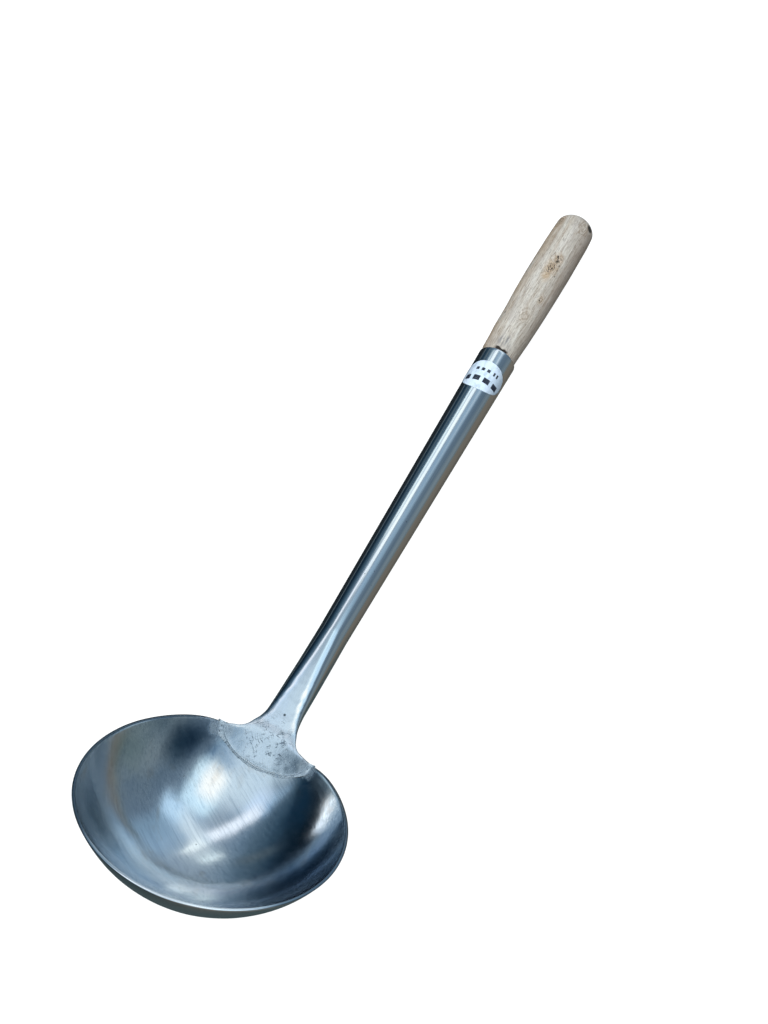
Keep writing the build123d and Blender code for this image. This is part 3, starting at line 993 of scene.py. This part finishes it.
# ---- the light around the ladle ----------------------------------
# The room as the steel shows it, looking across the handle: how far towards +Y, and the colour there
ROOM_ACROSS = [
    (-1.00, (96, 112, 120)),
    (-0.86, (108, 122, 130)),
    (-0.72, (84, 102, 117)),
    (-0.52, (92, 110, 126)),
    (-0.38, (120, 146, 166)),
    (-0.15, (134, 160, 182)),
    (0.05, (132, 150, 167)),
    (0.30, (122, 140, 156)),
    (0.46, (98, 120, 138)),
    (0.60, (74, 96, 112)),
    (0.74, (44, 68, 86)),
    (0.85, (14, 34, 48)),
    (1.00, (4, 14, 24)),
]
# Far strips and patches, light and dark: towards (x, y), turn of its length in degrees,
# half length, half width, softness along and across, colour
FAR_LIGHTS = [
    ((-0.40, 0.20), 0, 0.55, 0.24, 0.22, 0.16, (188, 208, 222)),
    ((-0.20, 0.84), 0, 0.35, 0.12, 0.16, 0.10, (14, 38, 56)),
    ((0.04, 0.55), -10, 0.14, 0.04, 0.10, 0.09, (146, 178, 206)),
    ((0.06, 0.42), -12, 0.14, 0.07, 0.10, 0.07, (196, 218, 242)),
    ((0.44, 0.32), -24, 0.33, 0.060, 0.12, 0.07, (240, 247, 255)),
    ((-0.10, -0.76), 10, 0.22, 0.13, 0.16, 0.14, (26, 48, 64)),
    ((0.70, -0.12), 55, 0.26, 0.08, 0.12, 0.12, (206, 222, 232)),
    ((0.62, 0.66), -45, 0.16, 0.04, 0.12, 0.08, (84, 98, 106)),
]
# Near soft boxes: middle, half size along X and across in metres, soft share of it, colour
NEAR_LIGHTS = [
    ((-0.035, -0.120, 0.50), 0.195, 0.140, 0.36, (204, 232, 246)),
    ((-0.045, -0.060, 0.15), 0.055, 0.044, 0.70, (188, 218, 240)),
    ((-0.098, -0.085, 0.49), 0.125, 0.095, 0.64, (255, 255, 250)),
    ((0.150, 0.037, 0.20), 0.130, 0.027, 0.40, (240, 252, 255)),
    ((0.178, 0.118, 0.20), 0.102, 0.030, 0.40, (226, 243, 248)),
    ((0.150, 0.078, 0.19), 0.130, 0.011, 0.50, (180, 198, 208)),
]
# A white card that stands beyond the bowl: middle, half size along X and up, softness, colour
CARD = ((-0.12, 0.55, 0.05), 0.12, 0.08, 0.40, (300, 308, 312))
HORIZON = (92, 106, 114)        # the room just over the bench
# The bench as the steel shows it: metres towards +Y of the handle, and the colour there
BENCH_ACROSS = [
    (-1.0, (92, 104, 106)),
    (-0.30, (92, 98, 96)),
    (-0.10, (102, 96, 86)),
    (-0.03, (102, 96, 86)),
    # painted shadow of the ladle on the bench, beside the handle towards +Y
    (0.00, (60, 60, 56)),
    (0.03, (14, 20, 24)),
    (0.16, (16, 22, 26)),
    (0.50, (36, 44, 50)),
    (1.0, (60, 70, 76)),
]
BENCH_SHADE = (58, 70, 72)      # under the bowl
BENCH_REACH = 2.0               # metres from the handle that the ramp of BENCH_ACROSS covers
BACKDROP = (0.93, 0.935, 0.94)
FLOOR_HALF = 4.0
FLOOR_LEVEL = -0.2 * MM
FLOOR_GLOW = 0.97


def build_room():
    """A soft studio: what the steel mirrors, with a plain pale backdrop for the camera."""
    world = bpy.data.worlds.new("studio")
    bpy.context.scene.world = world
    world.use_nodes = True
    world.node_tree.nodes.clear()
    room = Nodes(world.node_tree)
    towards = room.node("TexCoord").outputs["Generated"]
    stops = [((y + 1) / 2, seen(*colour, STEEL)) for y, colour in ROOM_ACROSS]
    light = room.ramp(room.scaled(room.part(towards, 1), 0.5, 0.5), stops)
    light = room.mix(room.step(room.part(towards, 2), 0.01, 0.10), seen(*HORIZON, STEEL), light)
    for (x, y), turn, half_long, half_wide, soft_long, soft_wide, colour in FAR_LIGHTS:
        facing = Vector((x, y, sqrt(1 - x * x - y * y)))
        length = Vector((cos(radians(turn)), sin(radians(turn)), 0))
        length = (length - facing * length.dot(facing)).normalized()
        width = facing.cross(length)
        u = room.math("ABSOLUTE", room.vector("DOT_PRODUCT", towards, length))
        v = room.math("ABSOLUTE", room.vector("DOT_PRODUCT", towards, width))
        inside = room.times(room.step(u, half_long + soft_long, half_long - soft_long / 2),
                           room.step(v, half_wide + soft_wide, half_wide - soft_wide / 2))
        ahead = room.math("GREATER_THAN", room.vector("DOT_PRODUCT", towards, facing), 0.0)
        light = room.mix(room.times(inside, ahead), light, seen(*colour, STEEL))
    lit = room.node("Background", {"Color": light})
    plain = room.node("Background", {"Color": BACKDROP})
    ray = room.node("LightPath")
    shown = {0: ray.outputs["Is Camera Ray"], 1: lit.outputs[0], 2: plain.outputs[0]}
    out = room.node("OutputWorld", {"Surface": room.node("MixShader", shown).outputs[0]})
    out.is_active_output = True
    for light in NEAR_LIGHTS:
        soft_box(light, False)
    soft_box(CARD, True)


def soft_box(light, upright):
    """A staged panel that only mirrors show, bright in its middle and fading out to its edges."""
    middle, half_long, half_wide, softness, colour = light
    panel = flat_piece("soft_box", middle, half_long, half_wide, upright)
    material = bpy.data.materials.new("soft_box")
    material.use_nodes = True
    material.node_tree.nodes.clear()
    glow = Nodes(material.node_tree)
    place = glow.node("TexCoord").outputs["Generated"]
    inside = None
    for axis in (0, 2 if upright else 1):
        off = glow.math("ABSOLUTE", glow.scaled(glow.part(place, axis), 2.0, -1.0))
        share = glow.step(off, 1.0, 1 - softness)
        inside = share if inside is None else glow.times(inside, share)
    clear = glow.node("BsdfTransparent")
    bright = glow.node("Emission", {"Color": seen(*colour, STEEL)})
    both = glow.node("MixShader", {0: inside, 1: clear.outputs[0], 2: bright.outputs[0]})
    glow.node("OutputMaterial", {"Surface": both.outputs[0]})
    panel.data.materials.append(material)
    panel.visible_camera = False
    panel.visible_diffuse = False
    panel.visible_shadow = False


def flat_piece(name, middle, half_long, half_wide, upright=False):
    """A staged rectangle: level, or upright along X."""
    corners = [(-1, -1), (1, -1), (1, 1), (-1, 1)]
    mesh = bpy.data.meshes.new(name)
    across = Vector((0, 0, half_wide)) if upright else Vector((0, half_wide, 0))
    points = [tuple(Vector(middle) + Vector((half_long * x, 0, 0)) + across * y) for x, y in corners]
    mesh.from_pydata(points, [], [(0, 1, 2, 3)])
    made = linked(name, mesh)
    return made


def build_floor():
    """A plain pale floor, and the dull bench top that the steel mirrors in its place."""
    floor = flat_piece("floor", (0, 0, FLOOR_LEVEL), FLOOR_HALF, FLOOR_HALF)
    look = Look("pale_floor", Roughness=0.9, Base_Color=(0.2, 0.2, 0.2), Emission_Color=(0.99, 1.0, 1.0))
    look.drive("Emission Strength", FLOOR_GLOW)
    floor.data.materials.append(look.material)
    floor.visible_glossy = False
    floor.visible_diffuse = False
    bench = flat_piece("mirrored_bench", (0, 0, 2 * FLOOR_LEVEL), FLOOR_HALF, FLOOR_HALF)
    look = Look("bench", Roughness=0.9, Base_Color=(0, 0, 0))
    stops = [((y / BENCH_REACH + 1) / 2, seen(*colour, STEEL)) for y, colour in BENCH_ACROSS]
    across = look.scaled(look.part(look.place, 1), 0.5 / BENCH_REACH, 0.5)
    glow = look.ramp(across, stops)
    under = look.near(look.place, (sphere_centre.x, 0, 0))
    glow = look.mix(look.step(under, 0.14, 0.07), glow, seen(*BENCH_SHADE, STEEL))
    look.drive("Emission Color", glow)
    look.drive("Emission Strength", 1.0)
    bench.data.materials.append(look.material)
    bench.visible_camera = False
    bench.visible_shadow = False


LAMP_PLACE = Vector((-0.15, 0.05, 1.1))
LAMP_SIZE = 1.5
LAMP_POWER = 15.0
LAMP_AIM = Vector((0.1, 0, 0))


def build_lamp():
    """A large soft lamp overhead for the wood and the label; the steel does not mirror it."""
    data = bpy.data.lights.new("top_lamp", "AREA")
    data.size = LAMP_SIZE
    data.energy = LAMP_POWER
    lamp = linked("top_lamp", data)
    look = (LAMP_AIM - LAMP_PLACE).to_track_quat("-Z", "Y").to_matrix().to_4x4()
    lamp.matrix_world = Matrix.Translation(LAMP_PLACE) @ look
    lamp.visible_glossy = False


# ---- camera ------------------------------------------------------
# from the back of the bowl's rim, on the floor
CAMERA_PLACE = Vector((-294.1, -186.7, 807.9)) * MM
CAMERA_AIM = Vector((146.7, 13.6, 0.0)) * MM
CAMERA_ROLL = 3.23
CAMERA_LENS = 61.24


def build_camera():
    """A camera at the photo's viewing angle."""
    data = bpy.data.cameras.new("camera")
    data.lens = CAMERA_LENS
    data.sensor_width = 36
    data.clip_start, data.clip_end = 0.01, 20
    camera = linked("camera", data)
    look = (CAMERA_AIM - CAMERA_PLACE).to_track_quat("-Z", "Y").to_matrix().to_4x4()
    spot = Matrix.Translation(CAMERA_PLACE + Vector((rim_x, 0, 0)))
    camera.matrix_world = spot @ look @ Matrix.Rotation(radians(CAMERA_ROLL), 4, "Z")
    bpy.context.scene.camera = camera


# ---- put together ------------------------------------------------
def finish_piece(piece, material, slot, *nodes):
    """Give a piece its material and body, and hide the CAD nodes it stands for. The slot is not used."""
    piece.data.materials.append(material)
    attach(piece, "root")
    if nodes:
        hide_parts(*nodes)


build_camera()
build_room()
build_floor()
build_lamp()
bpy.context.scene.view_settings.view_transform = "Standard"

weld_steel = weld_look()
finish_piece(build_bowl(), bowl_look(), "bowl_steel", "bowl")
finish_piece(build_shank(), shank_look(), "shank_steel", "shank")
finish_piece(build_neck_weld(), weld_steel, "weld_steel", "neck_weld")
finish_piece(build_rim_weld(), weld_steel, "weld_steel", "rim_weld")
finish_piece(build_grip(), wood_look(), "grip_wood", "grip")
finish_piece(build_label(), film_look(), "label_film", "size_label")
finish_piece(build_label_bars(), ink_look(), "label_film")
